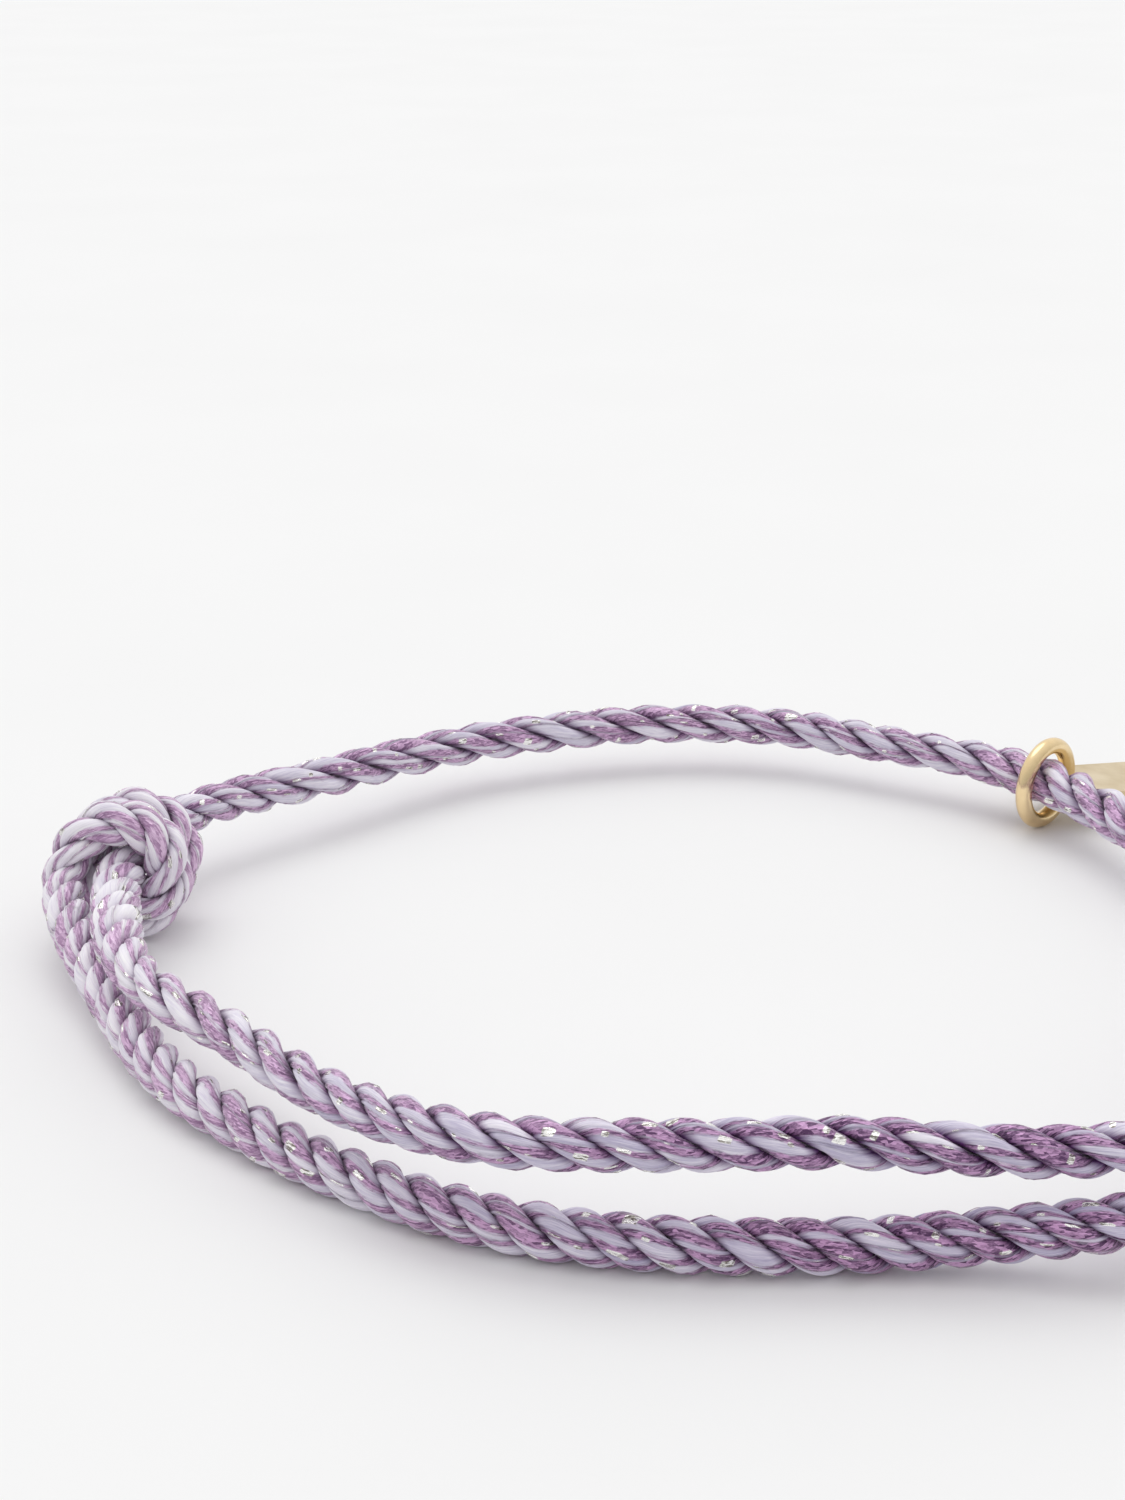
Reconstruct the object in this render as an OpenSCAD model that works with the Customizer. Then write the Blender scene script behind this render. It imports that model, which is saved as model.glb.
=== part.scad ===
// Adjustable cord bracelet, lying on a flat surface with its doubled front towards -Y.
// One twisted cord makes all of it. Each end is tied round the opposite run as a sliding knot,
// and a round metal ring on the back run carries a flat bare tag.

/* [Cord] */
// Diameter of the near front strand, which is twisted hard
cord_d = 2.5; // [2.3:0.05:2.5]
// Diameter of the upper front strand and of the back run, which are twisted less
soft_cord_d = 2.35; // [2.2:0.05:2.35]
// Diameter of the cord where it is pulled tight in a knot
knot_cord_d = 2.4; // [2.2:0.05:2.4]

/* [Knots] */
// Distance that the winding moves along its core in one turn
knot_pitch = 2.6; // [2.55:0.05:2.8]
// Gap between the winding and the strand inside it
knot_gap = 0.2; // [0.15:0.01:0.25]
// How far the top of each turn leans back, as a part of its height
knot_lean = 0.35; // [0.2:0.05:0.35]
// How much wider each winding is where it starts, which it loses in its first half turn
knot_slack = 0.4; // [0.2:0.05:0.45]

/* [Ring] */
// Outer diameter of the ring
ring_outer_d = 5.7; // [5.6:0.1:6.2]
// Diameter of the ring's wire
ring_wire_d = 1; // [0.8:0.05:1]

/* [Tag] */
// Length of the tag
tag_length = 12; // [10:0.5:14]
// Width of the tag
tag_width = 5; // [4.5:0.5:5.5]
// Thickness of the tag
tag_thickness = 0.8; // [0.6:0.1:1]
// Radius of the tag's corners
tag_corner_r = 1.2; // [0.5:0.1:2]
// Diameter of the hole that the ring goes through
tag_hole_d = 1.7; // [1.6:0.05:1.8]
// Distance from the centre of the hole to the near end of the tag
tag_hole_inset = 1.4; // [1.3:0.1:1.5]

/* [Hidden] */

// The cord is a tube with this many sides, and a knot has this many points in a turn
cord_sides = 8;
turn_points = 12;
// Gap between two pieces of the cord where they meet end to end
end_gap = 0.05;

// The near strand, from the left knot along the surface to the front of the right knot
lower_route = [
    [-33.1, -0.6, 2.9], [-31.6, -3.8, 2.3], [-29.8, -7.4, 1.9], [-27.9, -11.2, 1.6], [-25.4, -15.1, 1.4],
    [-22.1, -18.5, 1.25], [-18.8, -21.5, 1.25], [-15.2, -24.2, 1.25], [-11.3, -26.5, 1.25],
    [-7, -28.1, 1.25], [-2.4, -28.9, 1.25], [2.4, -29.1, 1.25], [7, -29, 1.3], [11.6, -29.1, 1.8],
    [16.8, -29.5, 2.7], [21.2, -28.5, 3.2], [25, -26, 3.5], [28, -22.4, 3.7], [30.1, -18.4, 3.8]
];

// The upper strand, from the front of the left knot, above the near strand, to the right knot
upper_route = [
    [-30.4, -1.8, 4.1], [-29.6, -5.6, 4.4], [-28.2, -9, 4.25], [-25.9, -11.9, 4.15], [-22.9, -14.9, 4.1],
    [-19.9, -18.7, 4.3], [-16.8, -22.3, 4.6], [-13.2, -25.5, 5.1], [-9.2, -27.6, 5.5], [-4.8, -28.4, 5.8],
    [0, -28.4, 5.8], [4.8, -28.2, 5.8], [9.4, -28.3, 5.6], [14, -28.3, 5.4], [18.4, -27.8, 5.5],
    [22.5, -26, 5.7], [25.9, -23.1, 5.9], [28.1, -19.6, 6]
];

// The single run, from the front of the right knot, through it, round the back and through the
// left knot
back_route = [
    [30.1, -18.4, 3.8], [31, -14.2, 3.8], [31.2, -10.2, 3.8], [31.3, -6.4, 3.8], [30.7, -2, 3.7],
    [29.5, 2.6, 3.6], [28, 7.6, 3.5], [26.1, 12.6, 3.3], [24.4, 16.7, 3.2], [22.3, 20.1, 3.1],
    [18.6, 23.4, 3.1], [13.9, 26.1, 3], [8.8, 28.7, 3], [3.5, 29.8, 3], [-1.8, 29.6, 3], [-7, 28.4, 3],
    [-12.1, 26.4, 3], [-16.9, 23.1, 3.2], [-21.3, 19.2, 3.5], [-25, 16.2, 3.7], [-27.8, 13.8, 3.8],
    [-29.7, 11.2, 3.8], [-30.6, 8, 3.9], [-31.1, 4.8, 3.9], [-31, 1.6, 3.9], [-30.4, -1.8, 4.1]
];

// Where each knot's winding starts: the place of its core and the core's turn away from +Y
left_core = [-31.2, 3, 3.9];
left_turn = 7;
right_core = [31.1, -13.6, 3.8];
right_turn = 2;
// The angle round the core at which each winding starts, from the core's right side, and its turns
left_start = 180;
left_turns = 1.9;
right_start = 130;
right_turns = 2.4;
// The strand's way into each winding, and its cut end behind it
left_lead = [[-33.1, -0.6, 2.9], [-33.8, 1.4, 3.3]];
left_tail = [[-33.2, 9.2, 2.5], [-32.9, 11.2, 2.8]];
right_lead = [[28.1, -19.6, 6], [29, -16.4, 6]];
right_tail = [[33.9, -6, 2.6], [33.4, -4, 2.6]];

// The ring stands on the surface, and its plane runs along ring_turn, as an angle from +X
ring_centre = [22.9, 19.9];
ring_turn = 46;
// The tag's hole is on the ring's outer side, lower than its middle by the angle tag_slip
tag_slip = 22;
tag_turn = 31;

ring_path_r = (ring_outer_d - ring_wire_d) / 2;
tag_reach = tag_length - tag_hole_inset;
tag_hole_z = ring_outer_d / 2 - ring_path_r * sin(tag_slip);
wind_r = (soft_cord_d + knot_cord_d) / 2 + knot_gap;

// A unit vector, and the part of a vector that is square to a direction, as a unit vector
function unit(v) = v / norm(v);
function square_to(v, along) = unit(v - (v * along) * along);

// The direction of a route at point i, from the points on both sides of it
function heading(route, i) =
    unit(route[min(i + 1, len(route) - 1)] - route[max(i - 1, 0)]);

// Side directions carried along a route without twist, one for each heading
function carried(headings, side, i = 0) =
    i == len(headings) ? [] :
    let (here = square_to(side, headings[i])) concat([here], carried(headings, here, i + 1));

// The points of one winding: a coil round the core, whose turns lean back at the top
function winding(core, turn, start, turns) =
    let (
        along = [sin(turn), cos(turn), 0],
        right = [cos(turn), -sin(turn), 0],
        last = round(turns * turn_points)
    )
    [for (i = [0:last])
        let (
            angle = start - 360 * i / turn_points,
            reach = wind_r + knot_slack * max(0, 1 - 2 * i / turn_points)
        )
        core + reach * (cos(angle) * right + sin(angle) * ([0, 0, 1] + knot_lean * along))
            + knot_pitch * i / turn_points * along];

// A closed tube swept along a route. The points before and after it only set the directions of its
// two ends, so that the next piece of cord meets it face to face.
module cord(route, before, after, d) {
    line = concat([before], route, [after]);
    count = len(route);
    headings = [for (i = [1:count]) heading(line, i)];
    sides = carried(headings, [0, 0, 1]);
    rings = [for (i = [0:count - 1])
        let (
            trim = i == 0 ? end_gap / 2 : i == count - 1 ? -end_gap / 2 : 0,
            across = cross(headings[i], sides[i]),
            middle = route[i] + trim * headings[i]
        )
        [for (k = [0:cord_sides - 1])
            let (angle = 360 * k / cord_sides)
            middle + d / 2 * (cos(angle) * sides[i] + sin(angle) * across)]];
    points = [for (ring = rings) each ring];
    walls = [for (i = [0:count - 2], k = [0:cord_sides - 1])
        let (
            a = i * cord_sides + k,
            b = i * cord_sides + (k + 1) % cord_sides
        )
        each [[a, a + cord_sides, b + cord_sides], [a, b + cord_sides, b]]];
    first_end = [for (k = [0:cord_sides - 1]) k];
    last_end = [for (k = [cord_sides - 1:-1:0]) (count - 1) * cord_sides + k];
    polyhedron(points, concat(walls, [first_end, last_end]));
}

module lower_run() {
    color("plum") cord(lower_route, left_lead[1], back_route[1], cord_d);
}

module upper_run() {
    color("thistle") cord(upper_route, back_route[len(back_route) - 2], right_lead[1], soft_cord_d);
}

module back_run() {
    color("thistle") cord(back_route, lower_route[len(lower_route) - 2], upper_route[1], soft_cord_d);
}

module left_knot() {
    route = concat(left_lead, winding(left_core, left_turn, left_start, left_turns), left_tail);
    stub = 2 * left_tail[1] - left_tail[0];
    color("plum") cord(route, lower_route[1], stub, knot_cord_d);
}

module right_knot() {
    route = concat(right_lead, winding(right_core, right_turn, right_start, right_turns), right_tail);
    stub = 2 * right_tail[1] - right_tail[0];
    color("thistle") cord(route, upper_route[len(upper_route) - 2], stub, knot_cord_d);
}

module slide_ring() {
    color("gold")
    translate([ring_centre[0], ring_centre[1], ring_outer_d / 2])
    rotate([90, 0, ring_turn])
    rotate_extrude($fn = 96)
    translate([ring_path_r, 0])
    circle(d = ring_wire_d, $fn = 32);
}

// A plate with round corners, with its long middle line on the X axis
module rounded(length, width, r) {
    translate([0, r - width / 2]) square([length, width - 2 * r]);
    translate([r, -width / 2]) square([length - 2 * r, width]);
    for (x = [r, length - r], y = [r - width / 2, width / 2 - r])
        translate([x, y]) circle(r, $fn = 48);
}

// The ring goes through the tag's hole, and the tag's other end rests on the surface
module tag() {
    half = tag_thickness / 2;
    drop = asin(tag_hole_z / norm([tag_reach, half])) - atan(half / tag_reach);
    color("palegoldenrod")
    translate([ring_centre[0], ring_centre[1], tag_hole_z])
    translate(ring_path_r * cos(tag_slip) * [cos(ring_turn), sin(ring_turn), 0])
    rotate([0, drop, tag_turn])
    translate([0, 0, -half])
    linear_extrude(tag_thickness)
    difference() {
        translate([-tag_hole_inset, 0]) rounded(tag_length, tag_width, tag_corner_r);
        circle(d = tag_hole_d, $fn = 48);
    }
}

lower_run();
upper_run();
back_run();
left_knot();
right_knot();
slide_ring();
tag();
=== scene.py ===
# %% [markdown]
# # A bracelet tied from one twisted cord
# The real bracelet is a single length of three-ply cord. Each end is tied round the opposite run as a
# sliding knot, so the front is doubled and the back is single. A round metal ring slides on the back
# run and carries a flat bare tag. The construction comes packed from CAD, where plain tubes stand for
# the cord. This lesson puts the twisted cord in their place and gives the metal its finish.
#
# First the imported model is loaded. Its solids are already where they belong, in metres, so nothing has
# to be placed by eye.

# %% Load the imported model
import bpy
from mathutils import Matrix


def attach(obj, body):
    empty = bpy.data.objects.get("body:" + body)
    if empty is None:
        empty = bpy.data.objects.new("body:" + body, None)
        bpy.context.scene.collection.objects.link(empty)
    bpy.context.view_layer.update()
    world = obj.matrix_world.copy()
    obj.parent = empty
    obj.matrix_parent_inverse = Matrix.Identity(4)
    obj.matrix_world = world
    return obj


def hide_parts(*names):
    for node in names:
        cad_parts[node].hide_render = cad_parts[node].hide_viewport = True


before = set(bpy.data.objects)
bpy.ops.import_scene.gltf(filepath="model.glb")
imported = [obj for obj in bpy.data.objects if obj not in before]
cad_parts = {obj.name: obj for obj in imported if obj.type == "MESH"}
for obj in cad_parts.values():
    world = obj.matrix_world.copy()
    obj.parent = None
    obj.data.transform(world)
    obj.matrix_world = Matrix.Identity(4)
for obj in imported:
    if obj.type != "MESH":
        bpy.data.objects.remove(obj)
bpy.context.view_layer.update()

# %% [markdown]
# Blender itself is the module bpy. Its meshes could be made point by point, but a cord has more than a
# hundred thousand of them, so numpy does the sums on all of them at once.

# %% Fetch the other tools
import math

import bpy
import numpy as np

print("Blender", bpy.app.version_string, "and numpy", np.__version__)

# %% [markdown]
# ## The camera
# The picture looks down at the bracelet from the front, with the doubled front strands close to the
# lens. A camera can be aimed with a target and a constraint, but here its place and its tilt are known
# from the way the cord thins towards the back, so both are given directly. The frame is upright, and
# the sensor width counts on its long side.

# %% Place the camera
CAMERA_PLACE = (-0.0068, -0.1170, 0.05804)
CAMERA_DOWN = math.radians(21.18)
LENS_LENGTH = 57.6
SENSOR_WIDTH = 36.0
NEAREST_SEEN = 0.005


def add_camera():
    data = bpy.data.cameras.new("table_camera")
    data.sensor_fit = "AUTO"
    data.sensor_width = SENSOR_WIDTH
    data.lens = LENS_LENGTH
    data.clip_start = NEAREST_SEEN
    camera = bpy.data.objects.new("table_camera", data)
    camera.location = CAMERA_PLACE
    camera.rotation_euler = (math.pi / 2 - CAMERA_DOWN, 0, 0)
    bpy.context.collection.objects.link(camera)
    bpy.context.scene.camera = camera
    return camera


camera = add_camera()
print("camera at", tuple(round(value, 4) for value in camera.location))

# %% [markdown]
# ## The way of the cord
# The cord is one line from cut end to cut end: out of the left knot, along the surface, through the
# right knot as its core, round the back, through the left knot as its core, along the front a second
# time and into the right knot's winding. The points below are the middle of the cord, in millimetres.
# They are the ones that the construction's tubes follow, so the cord lies exactly in their place.

# %% The points that the cord follows
MM = 0.001

LOWER_ROUTE = [
    (-33.1, -0.6, 2.9), (-31.6, -3.8, 2.3), (-29.8, -7.4, 1.9), (-27.9, -11.2, 1.6), (-25.4, -15.1, 1.4),
    (-22.1, -18.5, 1.25), (-18.8, -21.5, 1.25), (-15.2, -24.2, 1.25), (-11.3, -26.5, 1.25),
    (-7, -28.1, 1.25), (-2.4, -28.9, 1.25), (2.4, -29.1, 1.25), (7, -29, 1.3), (11.6, -29.1, 1.8),
    (16.8, -29.5, 2.7), (21.2, -28.5, 3.2), (25, -26, 3.5), (28, -22.4, 3.7), (30.1, -18.4, 3.8),
]

UPPER_ROUTE = [
    (-30.4, -1.8, 4.1), (-29.6, -5.6, 4.4), (-28.2, -9, 4.25), (-25.9, -11.9, 4.15), (-22.9, -14.9, 4.1),
    (-19.9, -18.7, 4.3), (-16.8, -22.3, 4.6), (-13.2, -25.5, 5.1), (-9.2, -27.6, 5.5), (-4.8, -28.4, 5.8),
    (0, -28.4, 5.8), (4.8, -28.2, 5.8), (9.4, -28.3, 5.6), (14, -28.3, 5.4), (18.4, -27.8, 5.5),
    (22.5, -26, 5.7), (25.9, -23.1, 5.9), (28.1, -19.6, 6),
]

BACK_ROUTE = [
    (30.1, -18.4, 3.8), (31, -14.2, 3.8), (31.2, -10.2, 3.8), (31.3, -6.4, 3.8), (30.7, -2, 3.7),
    (29.5, 2.6, 3.6), (28, 7.6, 3.5), (26.1, 12.6, 3.3), (24.4, 16.7, 3.2), (22.3, 20.1, 3.1),
    (18.6, 23.4, 3.1), (13.9, 26.1, 3), (8.8, 28.7, 3), (3.5, 29.8, 3), (-1.8, 29.6, 3), (-7, 28.4, 3),
    (-12.1, 26.4, 3), (-16.9, 23.1, 3.2), (-21.3, 19.2, 3.5), (-25, 16.2, 3.7), (-27.8, 13.8, 3.8),
    (-29.7, 11.2, 3.8), (-30.6, 8, 3.9), (-31.1, 4.8, 3.9), (-31, 1.6, 3.9), (-30.4, -1.8, 4.1),
]

LEFT_LEAD = [(-33.1, -0.6, 2.9), (-33.8, 1.4, 3.3)]
LEFT_TAIL = [(-33.2, 9.2, 2.5), (-32.9, 11.2, 2.8)]
RIGHT_LEAD = [(28.1, -19.6, 6), (29, -16.4, 6)]
RIGHT_TAIL = [(33.9, -6, 2.6), (33.4, -4, 2.6)]
print(len(LOWER_ROUTE) + len(UPPER_ROUTE) + len(BACK_ROUTE), "points in the three runs")

# %% [markdown]
# A knot is a coil round the strand that it slides on. It could be a long list of points, but a coil has
# a rule: the angle round the core grows evenly while the turn moves along it. The turns of a real knot
# lean back at the top, so the upward direction is tilted along the core. The winding also starts a little
# wide and draws in over its first half turn.

# %% The winding of a knot
TURN_POINTS = 12
# Half of the core's and half of the winding's thickness, and 0.2 mm between them
WIND_RADIUS = 2.575
WIND_PITCH = 2.6
WIND_LEAN = 0.35
WIND_SLACK = 0.4


def winding(core, turn, start, turns):
    """Points of a coil round a core that lies flat and is turned away from +Y by an angle."""
    turn = math.radians(turn)
    along = np.array([math.sin(turn), math.cos(turn), 0])
    right = np.array([math.cos(turn), -math.sin(turn), 0])
    up = np.array([0, 0, 1]) + WIND_LEAN * along
    points = []
    for i in range(round(turns * TURN_POINTS) + 1):
        angle = math.radians(start - 360 * i / TURN_POINTS)
        reach = WIND_RADIUS + WIND_SLACK * max(0, 1 - 2 * i / TURN_POINTS)
        side = reach * (math.cos(angle) * right + math.sin(angle) * up)
        points.append(np.array(core) + side + WIND_PITCH * i / TURN_POINTS * along)
    return points


LEFT_WINDING = winding(core=(-31.2, 3, 3.9), turn=7, start=180, turns=1.9)
RIGHT_WINDING = winding(core=(31.1, -13.6, 3.8), turn=2, start=130, turns=2.4)
print(len(LEFT_WINDING), "and", len(RIGHT_WINDING), "points in the two windings")

# %% [markdown]
# The cord is one piece, so its five stretches are joined into one list, from cut end to cut end. Each
# stretch starts where the last one ends, and that shared point is taken once. Five separate curves would
# be easier to edit, but they could meet at a kink.

# %% Join the five stretches
STRETCHES = {
    "left_coil": LEFT_TAIL[::-1] + LEFT_WINDING[::-1] + LEFT_LEAD[::-1],
    "lower_strand": LOWER_ROUTE,
    "back_strand": BACK_ROUTE,
    "upper_strand": UPPER_ROUTE,
    "right_coil": RIGHT_LEAD + RIGHT_WINDING + RIGHT_TAIL,
}


def join_stretches():
    """All points in order, and for each stretch the numbers of its first and last point."""
    points = [STRETCHES["left_coil"][0]]
    spans = {}
    for name, stretch in STRETCHES.items():
        first = len(points) - 1
        points.extend(stretch[1:])
        spans[name] = (first, len(points) - 1)
    return np.array(points, dtype=float), spans


ROUTE, SPANS = join_stretches()
print(len(ROUTE), "points from cut end to cut end")

# %% [markdown]
# One smooth curve is laid through the points. A Blender curve object could do this, but the twist of the
# plies has to run on from one stretch into the next, so the curve is worked out here. It is a natural
# cubic spline, which bends as little as it can. A set of equations finds its bend at each point, so that
# the parts on both sides of a point meet without a kink.

# %% A smooth line for the whole cord
def spline_through(points):
    """A natural cubic spline, as a function of the distance along the straight lines of its points."""
    gaps = np.linalg.norm(np.diff(points, axis=0), axis=1)
    marks = np.concatenate([[0.0], np.cumsum(gaps)])
    slopes = np.diff(points, axis=0) / gaps[:, None]
    system = np.eye(len(points))
    target = np.zeros_like(points)
    for i in range(1, len(points) - 1):
        system[i, i - 1:i + 2] = gaps[i - 1], 2 * (gaps[i - 1] + gaps[i]), gaps[i]
        target[i] = 6 * (slopes[i] - slopes[i - 1])
    bends = np.linalg.solve(system, target)

    def point_at(distance):
        i = np.clip(np.searchsorted(marks, distance) - 1, 0, len(gaps) - 1)
        gap = gaps[i][:, None]
        back = (distance - marks[i])[:, None]
        ahead = gap - back
        curved = (bends[i] * ahead**3 + bends[i + 1] * back**3) / (6 * gap)
        left = (points[i] / gap - bends[i] * gap / 6) * ahead
        right = (points[i + 1] / gap - bends[i + 1] * gap / 6) * back
        return curved + left + right

    return point_at, marks


cord_at, ROUTE_MARKS = spline_through(ROUTE)
print("straight from point to point:", round(ROUTE_MARKS[-1], 1), "mm")

# %% [markdown]
# The curve is now cut into short steps of equal length. The cross-sections of the cord stand on these
# steps. Each stretch gets a whole number of them, so that neighbouring pieces share one cross-section
# and meet without a gap.

# %% Cut the line into short steps
STEP = 0.2


def cut_line():
    """Places along the spline, and for each stretch the numbers of its first and last step."""
    places = [0.0]
    cuts = {}
    for name, (first, last) in SPANS.items():
        start, end = ROUTE_MARKS[first], ROUTE_MARKS[last]
        count = math.ceil((end - start) / STEP)
        cuts[name] = (len(places) - 1, len(places) - 1 + count)
        places.extend(np.linspace(start, end, count + 1)[1:])
    return np.array(places), cuts


PLACES, CUTS = cut_line()
LINE = cord_at(PLACES)
DISTANCE = np.concatenate([[0.0], np.cumsum(np.linalg.norm(np.diff(LINE, axis=0), axis=1))])
print("the whole cord is", round(DISTANCE[-1], 1), "mm long, in", len(LINE) - 1, "steps")

# %% [markdown]
# Every step needs two directions square to the cord, to place the plies round it. If they were found
# anew at each step they could spin. So the first one is carried along and only corrected to stay square,
# as a ribbon glued to the cord would be.

# %% Carry a side direction along the cord
def unit(vectors):
    return vectors / np.linalg.norm(vectors, axis=-1, keepdims=True)


def square_to(vectors, directions):
    """The part of each vector that is square to its direction, as a unit vector."""
    overlap = np.sum(vectors * directions, axis=-1, keepdims=True)
    return unit(vectors - overlap * directions)


HEADING = unit(np.gradient(LINE, axis=0))


def carried_sides():
    side = square_to(np.array([0.0, 0.0, 1.0]), HEADING[0])
    sides = [side]
    for heading in HEADING[1:]:
        side = square_to(side, heading)
        sides.append(side)
    return np.array(sides)


SIDE = carried_sides()
ACROSS = np.cross(HEADING, SIDE)
print("side directions carried over", len(SIDE), "steps")

# %% [markdown]
# ## Three plies
# Three plies run round each other like the lanes of a spiral stair. Nearly everything about them changes
# along the cord: how tightly they turn, how thick they are and how worn. Separate numbers for each piece
# would leave a jump at every joint. So each of these values is one list, with a number for every step
# along the whole cord. The helpers below make such lists: one from a few chosen numbers, one at random.

# %% Values that change along the cord
PLIES = 3
# One fixed seed, so that every run gives the same cord
rng = np.random.default_rng(7)


def ends(name):
    """The distances along the cord at which a stretch starts and ends."""
    first, last = CUTS[name]
    return DISTANCE[first], DISTANCE[last]


def along_cord(steps):
    """A value that is given at some distances along the cord and changes evenly between them."""
    marks = [mark for mark, value in steps]
    values = [value for mark, value in steps]
    return np.interp(DISTANCE, marks, values)


def wander(spacing, amount):
    """Smooth random change along the cord, with a new aim every so many millimetres."""
    knots = np.arange(-spacing, DISTANCE[-1] + 2 * spacing, spacing)
    aims = rng.normal(0, amount, len(knots))
    place = (DISTANCE - knots[0]) / spacing
    i = place.astype(int)
    blend = place - i
    blend = blend * blend * (3 - 2 * blend)
    return aims[i] * (1 - blend) + aims[i + 1] * blend


print("the back strand runs from", *(round(end, 1) for end in ends("back_strand")), "mm")

# %% [markdown]
# One full turn of a ply is the lay of the cord. The near strand was twisted harder when its knot was tied,
# so its lay is short, and on the back run it is long. The thickness is first taken as the construction
# has it, a little more for the near strand. Both values settle over some millimetres where one stretch
# runs into the next.

# %% Lay and thickness
TIED_LAY, UPPER_LAY, BACK_LAY, COIL_LAY = 5.75, 6.8, 7.5, 6.0
TIED_WIDTH, SOFT_WIDTH, COIL_WIDTH = 2.5, 2.35, 2.4
SETTLE = 5.0

LAY = along_cord([
    (ends("lower_strand")[1] - SETTLE, TIED_LAY), (ends("back_strand")[0] + 2 * SETTLE, BACK_LAY),
    (ends("back_strand")[1] - SETTLE, BACK_LAY), (ends("upper_strand")[0] + SETTLE, UPPER_LAY),
    (ends("upper_strand")[1] - SETTLE, UPPER_LAY), (ends("right_coil")[0] + SETTLE, COIL_LAY),
])
WIDTH = along_cord([
    (ends("left_coil")[1] - SETTLE, COIL_WIDTH), (ends("lower_strand")[0] + SETTLE, TIED_WIDTH),
    (ends("lower_strand")[1] - SETTLE, TIED_WIDTH), (ends("back_strand")[0] + SETTLE, SOFT_WIDTH),
    (ends("upper_strand")[1] - SETTLE, SOFT_WIDTH), (ends("right_coil")[0] + SETTLE, COIL_WIDTH),
])
print("lay from", LAY.min(), "to", LAY.max(), "mm")

# %% [markdown]
# A twisted cord opens where it has been pushed together or bent, and looks thicker there. This one is
# opened beside the ring, in the left knot and along the back run. The extra thickness could be drawn into
# the list above, but a few soft swellings laid over it are easier to move and to read.

# %% Where the cord has opened
RING_SPOT = ends("back_strand")[0] + 39.7
KNOT_SPOT = ends("back_strand")[1]
COIL_SPOT = 28
SWELL_RISE = 2.2
# First and last distance along the cord and the extra thickness, in mm
SWELLS = [
    (RING_SPOT - 18, RING_SPOT + 7, 0.52), (KNOT_SPOT - 14, KNOT_SPOT + 8, 0.4),
    (COIL_SPOT - 8, COIL_SPOT + 8, 0.3), (RING_SPOT + 4, KNOT_SPOT - 10, 0.17),
]


def swell(first, last, extra):
    """Extra thickness between two distances, coming and going softly."""
    half = (last - first) / 2
    part = np.clip(1 - np.abs(DISTANCE - first - half) / half, 0, 1)
    return extra * np.minimum(SWELL_RISE * part, 1)


for first, last, extra in SWELLS:
    WIDTH += swell(first, last, extra)
print("thickness from", round(WIDTH.min(), 2), "to", round(WIDTH.max(), 2), "mm")

# %% [markdown]
# The twist of a real cord is never quite even. Where it loosens, the plies fall behind a steady turn, and
# where it tightens they catch up. The lag below moves the bumps of the plies along the cord. Random noise
# would look as natural, but here the bumps should lie where the picture shows them.

# %% How far the plies have turned
# Part of a turn by which the plies lag, at a distance in mm along the cord
LAG = [
    (59, 0.08), (61, 0.07), (63, 0.11), (65, 0.15), (67, 0.16), (73, 0.17), (80, 0.16), (90, 0.14),
    (95, 0.18), (100, 0.21), (156, 0.07), (158.5, 0.18), (161, 0.17), (165, 0.23), (170, 0.3),
    (174.5, 0.35), (179.5, 0.36), (184, 0.41), (189, 0.49), (193.5, 0.56), (198.5, 0.64), (203.5, 0.75),
    (208, 0.89), (213, 1), (216, 1.08), (246, 0.6), (249.5, 0.66), (252, 0.71), (255, 0.8), (258, 0.9),
    (260.5, 0.97), (263, 1.02), (265, 1.03), (270, 1), (275, 0.97), (280, 0.9), (290, 0.91), (294, 0.94),
]
STEADY_TURNS = np.concatenate([[0.0], np.cumsum(np.diff(DISTANCE) / LAY[:-1])])
TURN = 2 * np.pi * (STEADY_TURNS - along_cord(LAG))
print("turns of a ply in the whole cord:", round(TURN[-1] / (2 * math.pi), 1))

# %% [markdown]
# The yarn is rubbed open and pale where the knots slide over it, most of all at the left knot, and fresh
# along the front. The mesh will carry this as a number at each point, and the finish reads it.

# %% Where the yarn is rubbed
# From 0, fresh, to 1, rubbed open, at a distance in mm along the cord
WORN = along_cord([
    (54, 1), (62, 0.75), (70, 0.5), (80, 0.2), (92, 0), (112, 0), (122, 0.6), (145, 0.45), (222, 0.45),
    (230, 0.9), (244, 1), (252, 0.75), (260, 0.5), (270, 0.2), (282, 0), (300, 0), (312, 0.6),
])
print("the yarn is rubbed by", round(WORN.mean(), 2), "on average")

# %% [markdown]
# Each ply is a rounded bundle of eight yarns. Four are soft lilac yarns, smooth and matt. Between them lie
# four purple tinsel yarns, which are flat metallic film and look crinkled. The yarns are twisted the
# other way round inside the ply, so on the outside they run nearly straight along the cord. They also
# dive under each other and come up again. Twenty-four separate tubes would hide most of their surface
# inside. One closed tube a ply, with a low lobe for each yarn, shows the same and stays light.

# %% The yarns in a ply
# Share of the way round each ply in hundredths, for a soft yarn and a tinsel yarn in turn
YARN_SHARES = [
    (16, 15, 7, 15, 13, 11, 8, 15),
    (12, 18, 10, 12, 14, 14, 6, 14),
    (20, 11, 8, 18, 7, 13, 11, 12),
]
YARNS = len(YARN_SHARES[0])
YARN_COLUMNS = 5
YARN_TURNS = -1.9
PLY_SHARE = 0.465
CREASE = 0.13
CRINKLE = 0.025
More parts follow.
